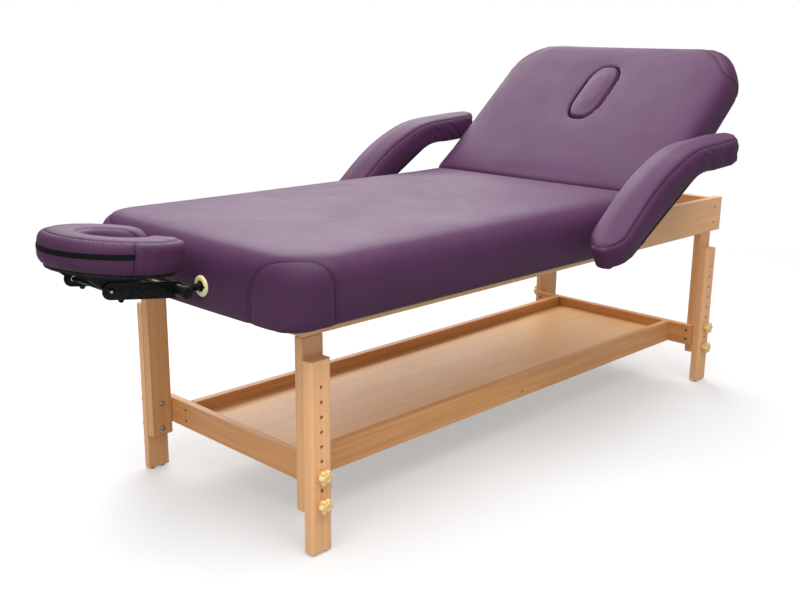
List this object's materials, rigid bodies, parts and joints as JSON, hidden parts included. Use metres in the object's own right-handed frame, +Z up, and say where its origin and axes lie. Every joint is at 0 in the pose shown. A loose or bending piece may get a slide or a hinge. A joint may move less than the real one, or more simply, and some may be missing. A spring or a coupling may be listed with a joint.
{
  "type": "massage table",
  "caption": "Wooden massage table with height-adjustable bolted legs, a low shelf, padded top, tilting backrest with breather plug, bent armrests and a crescent headrest.",
  "frame": {"origin": "on the floor, under the middle of the table's box", "axes": "+X from the headrest to the backrest, +Z up, -Y the side with the headrest's cam knob"},
  "size_m": [2.1296, 1.07, 1.0448],
  "materials": {
    "beech": "satin",
    "veneer": "satin",
    "knob_wood": "satin",
    "plywood": "matte",
    "vinyl": "satin",
    "black_board": "matte",
    "black_metal": "satin",
    "black_plastic": "satin",
    "black_webbing": "matte",
    "steel": "satin",
    "cream_plastic": "satin",
    "glide_plastic": "matte"
  },
  "bodies": {
    "frame": {"side_rail_near": "beech", "side_rail_far": "beech", "head_rail": "beech", "hinge_rail": "beech", "back_rail": "beech", "upper_leg_near_head": "beech", "upper_leg_near_back": "beech", "upper_leg_far_head": "beech", "upper_leg_far_back": "beech", "shelf_rail_near": "beech", "shelf_rail_far": "beech", "shelf_cross_head": "beech", "shelf_cross_back": "beech", "shelf_panel": "veneer", "shelf_batten": "beech", "main_deck": "plywood", "main_cushion": "vinyl", "headrest_socket_near": "cream_plastic", "headrest_socket_far": "cream_plastic", "hinge_leaf_fixed": "black_metal", "hinge_pin": "steel"},
    "leg_near_head": {"lower_leg_near_head": "beech", "foot_near_head": "glide_plastic"},
    "leg_near_back": {"lower_leg_near_back": "beech", "foot_near_back": "glide_plastic"},
    "leg_far_head": {"lower_leg_far_head": "beech", "foot_far_head": "glide_plastic"},
    "leg_far_back": {"lower_leg_far_back": "beech", "foot_far_back": "glide_plastic"},
    "star_knob_near_head_upper": {"star_knob_near_head_upper": "knob_wood"},
    "star_knob_near_head_lower": {"star_knob_near_head_lower": "knob_wood"},
    "star_knob_near_back_upper": {"star_knob_near_back_upper": "knob_wood"},
    "star_knob_near_back_lower": {"star_knob_near_back_lower": "knob_wood"},
    "star_knob_far_head_upper": {"star_knob_far_head_upper": "knob_wood"},
    "star_knob_far_head_lower": {"star_knob_far_head_lower": "knob_wood"},
    "star_knob_far_back_upper": {"star_knob_far_back_upper": "knob_wood"},
    "star_knob_far_back_lower": {"star_knob_far_back_lower": "knob_wood"},
    "backrest": {"backrest_board": "plywood", "backrest_cushion": "vinyl", "hinge_leaf_moving": "black_metal", "backrest_stay_near": "black_metal", "backrest_stay_far": "black_metal"},
    "breather_plug": {"breather_plug": "vinyl"},
    "stay_knob_near": {"stay_knob_near": "knob_wood"},
    "stay_knob_far": {"stay_knob_far": "knob_wood"},
    "armrest_near": {"armrest_pad_near": "vinyl", "armrest_board_near": "black_board"},
    "armrest_far": {"armrest_pad_far": "vinyl", "armrest_board_far": "black_board"},
    "armrest_bolt_near": {"armrest_bolt_near": "black_plastic"},
    "armrest_bolt_far": {"armrest_bolt_far": "black_plastic"},
    "headrest_fork": {"headrest_fork": "black_metal"},
    "headrest_cam_knob": {"headrest_cam_knob": "black_plastic"},
    "headrest_arm": {"headrest_arm": "black_metal", "headrest_tilt_pin": "steel"},
    "headrest_top": {"headrest_bracket": "black_metal", "headrest_platform": "black_board", "headrest_pad": "vinyl", "headrest_band": "black_webbing"}
  },
  "joints": [
    {"name": "leg_near_head_slide", "type": "slide", "parent": "frame", "child": "leg_near_head", "axis": [0, 0, -1], "range_m": [0, 0.198]},
    {"name": "leg_near_back_slide", "type": "slide", "parent": "frame", "child": "leg_near_back", "axis": [0, 0, -1], "range_m": [0, 0.198]},
    {"name": "leg_far_head_slide", "type": "slide", "parent": "frame", "child": "leg_far_head", "axis": [0, 0, -1], "range_m": [0, 0.198]},
    {"name": "leg_far_back_slide", "type": "slide", "parent": "frame", "child": "leg_far_back", "axis": [0, 0, -1], "range_m": [0, 0.198]},
    {"name": "star_knob_near_head_upper_turn", "type": "hinge", "parent": "frame", "child": "star_knob_near_head_upper", "pos_m": [-0.64974, -0.3283, 0.181], "axis": [0, -1, 0], "continuous": true},
    {"name": "star_knob_near_head_lower_turn", "type": "hinge", "parent": "frame", "child": "star_knob_near_head_lower", "pos_m": [-0.64974, -0.3283, 0.115], "axis": [0, -1, 0], "continuous": true},
    {"name": "star_knob_near_back_upper_turn", "type": "hinge", "parent": "frame", "child": "star_knob_near_back_upper", "pos_m": [0.97876, -0.3283, 0.181], "axis": [0, -1, 0], "continuous": true},
    {"name": "star_knob_near_back_lower_turn", "type": "hinge", "parent": "frame", "child": "star_knob_near_back_lower", "pos_m": [0.97876, -0.3283, 0.115], "axis": [0, -1, 0], "continuous": true},
    {"name": "star_knob_far_head_upper_turn", "type": "hinge", "parent": "frame", "child": "star_knob_far_head_upper", "pos_m": [-0.64974, 0.3283, 0.181], "axis": [0, 1, 0], "continuous": true},
    {"name": "star_knob_far_head_lower_turn", "type": "hinge", "parent": "frame", "child": "star_knob_far_head_lower", "pos_m": [-0.64974, 0.3283, 0.115], "axis": [0, 1, 0], "continuous": true},
    {"name": "star_knob_far_back_upper_turn", "type": "hinge", "parent": "frame", "child": "star_knob_far_back_upper", "pos_m": [0.97876, 0.3283, 0.181], "axis": [0, 1, 0], "continuous": true},
    {"name": "star_knob_far_back_lower_turn", "type": "hinge", "parent": "frame", "child": "star_knob_far_back_lower", "pos_m": [0.97876, 0.3283, 0.115], "axis": [0, 1, 0], "continuous": true},
    {"name": "backrest_tilt", "type": "hinge", "parent": "frame", "child": "backrest", "pos_m": [0.48676, 0, 0.644], "axis": [0, -1, 0], "range_deg": [-40, 20]},
    {"name": "plug_lift", "type": "slide", "parent": "backrest", "child": "breather_plug", "axis": [-0.6428, 0, 0.766], "range_m": [0, 0.09]},
    {"name": "stay_knob_near_turn", "type": "hinge", "parent": "frame", "child": "stay_knob_near", "pos_m": [0.63781, -0.2732, 0.566], "axis": [0, 1, 0], "continuous": true},
    {"name": "stay_knob_far_turn", "type": "hinge", "parent": "frame", "child": "stay_knob_far", "pos_m": [0.63781, 0.2732, 0.566], "axis": [0, -1, 0], "continuous": true},
    {"name": "armrest_near_swing", "type": "hinge", "parent": "frame", "child": "armrest_near", "pos_m": [0.3144, -0.43, 0.58925], "axis": [0, -1, 0], "range_deg": [-60, 40]},
    {"name": "armrest_far_swing", "type": "hinge", "parent": "frame", "child": "armrest_far", "pos_m": [0.3144, 0.43, 0.58925], "axis": [0, -1, 0], "range_deg": [-60, 40]},
    {"name": "armrest_bolt_near_turn", "type": "hinge", "parent": "frame", "child": "armrest_bolt_near", "pos_m": [0.3144, -0.43, 0.58925], "axis": [0, -1, 0], "continuous": true},
    {"name": "armrest_bolt_far_turn", "type": "hinge", "parent": "frame", "child": "armrest_bolt_far", "pos_m": [0.3144, 0.43, 0.58925], "axis": [0, 1, 0], "continuous": true},
    {"name": "headrest_slide", "type": "slide", "parent": "frame", "child": "headrest_fork", "axis": [-1, 0, 0], "range_m": [0, 0.12]},
    {"name": "headrest_swing", "type": "hinge", "parent": "headrest_fork", "child": "headrest_arm", "pos_m": [-0.82324, 0, 0.57], "axis": [0, 1, 0], "range_deg": [-30, 15]},
    {"name": "headrest_tilt", "type": "hinge", "parent": "headrest_arm", "child": "headrest_top", "pos_m": [-0.97223, 0, 0.592], "axis": [0, 1, 0], "range_deg": [-25, 4]},
    {"name": "headrest_cam_knob_turn", "type": "hinge", "parent": "headrest_fork", "child": "headrest_cam_knob", "pos_m": [-0.82324, 0, 0.57], "axis": [0, -1, 0], "continuous": true}
  ]
}
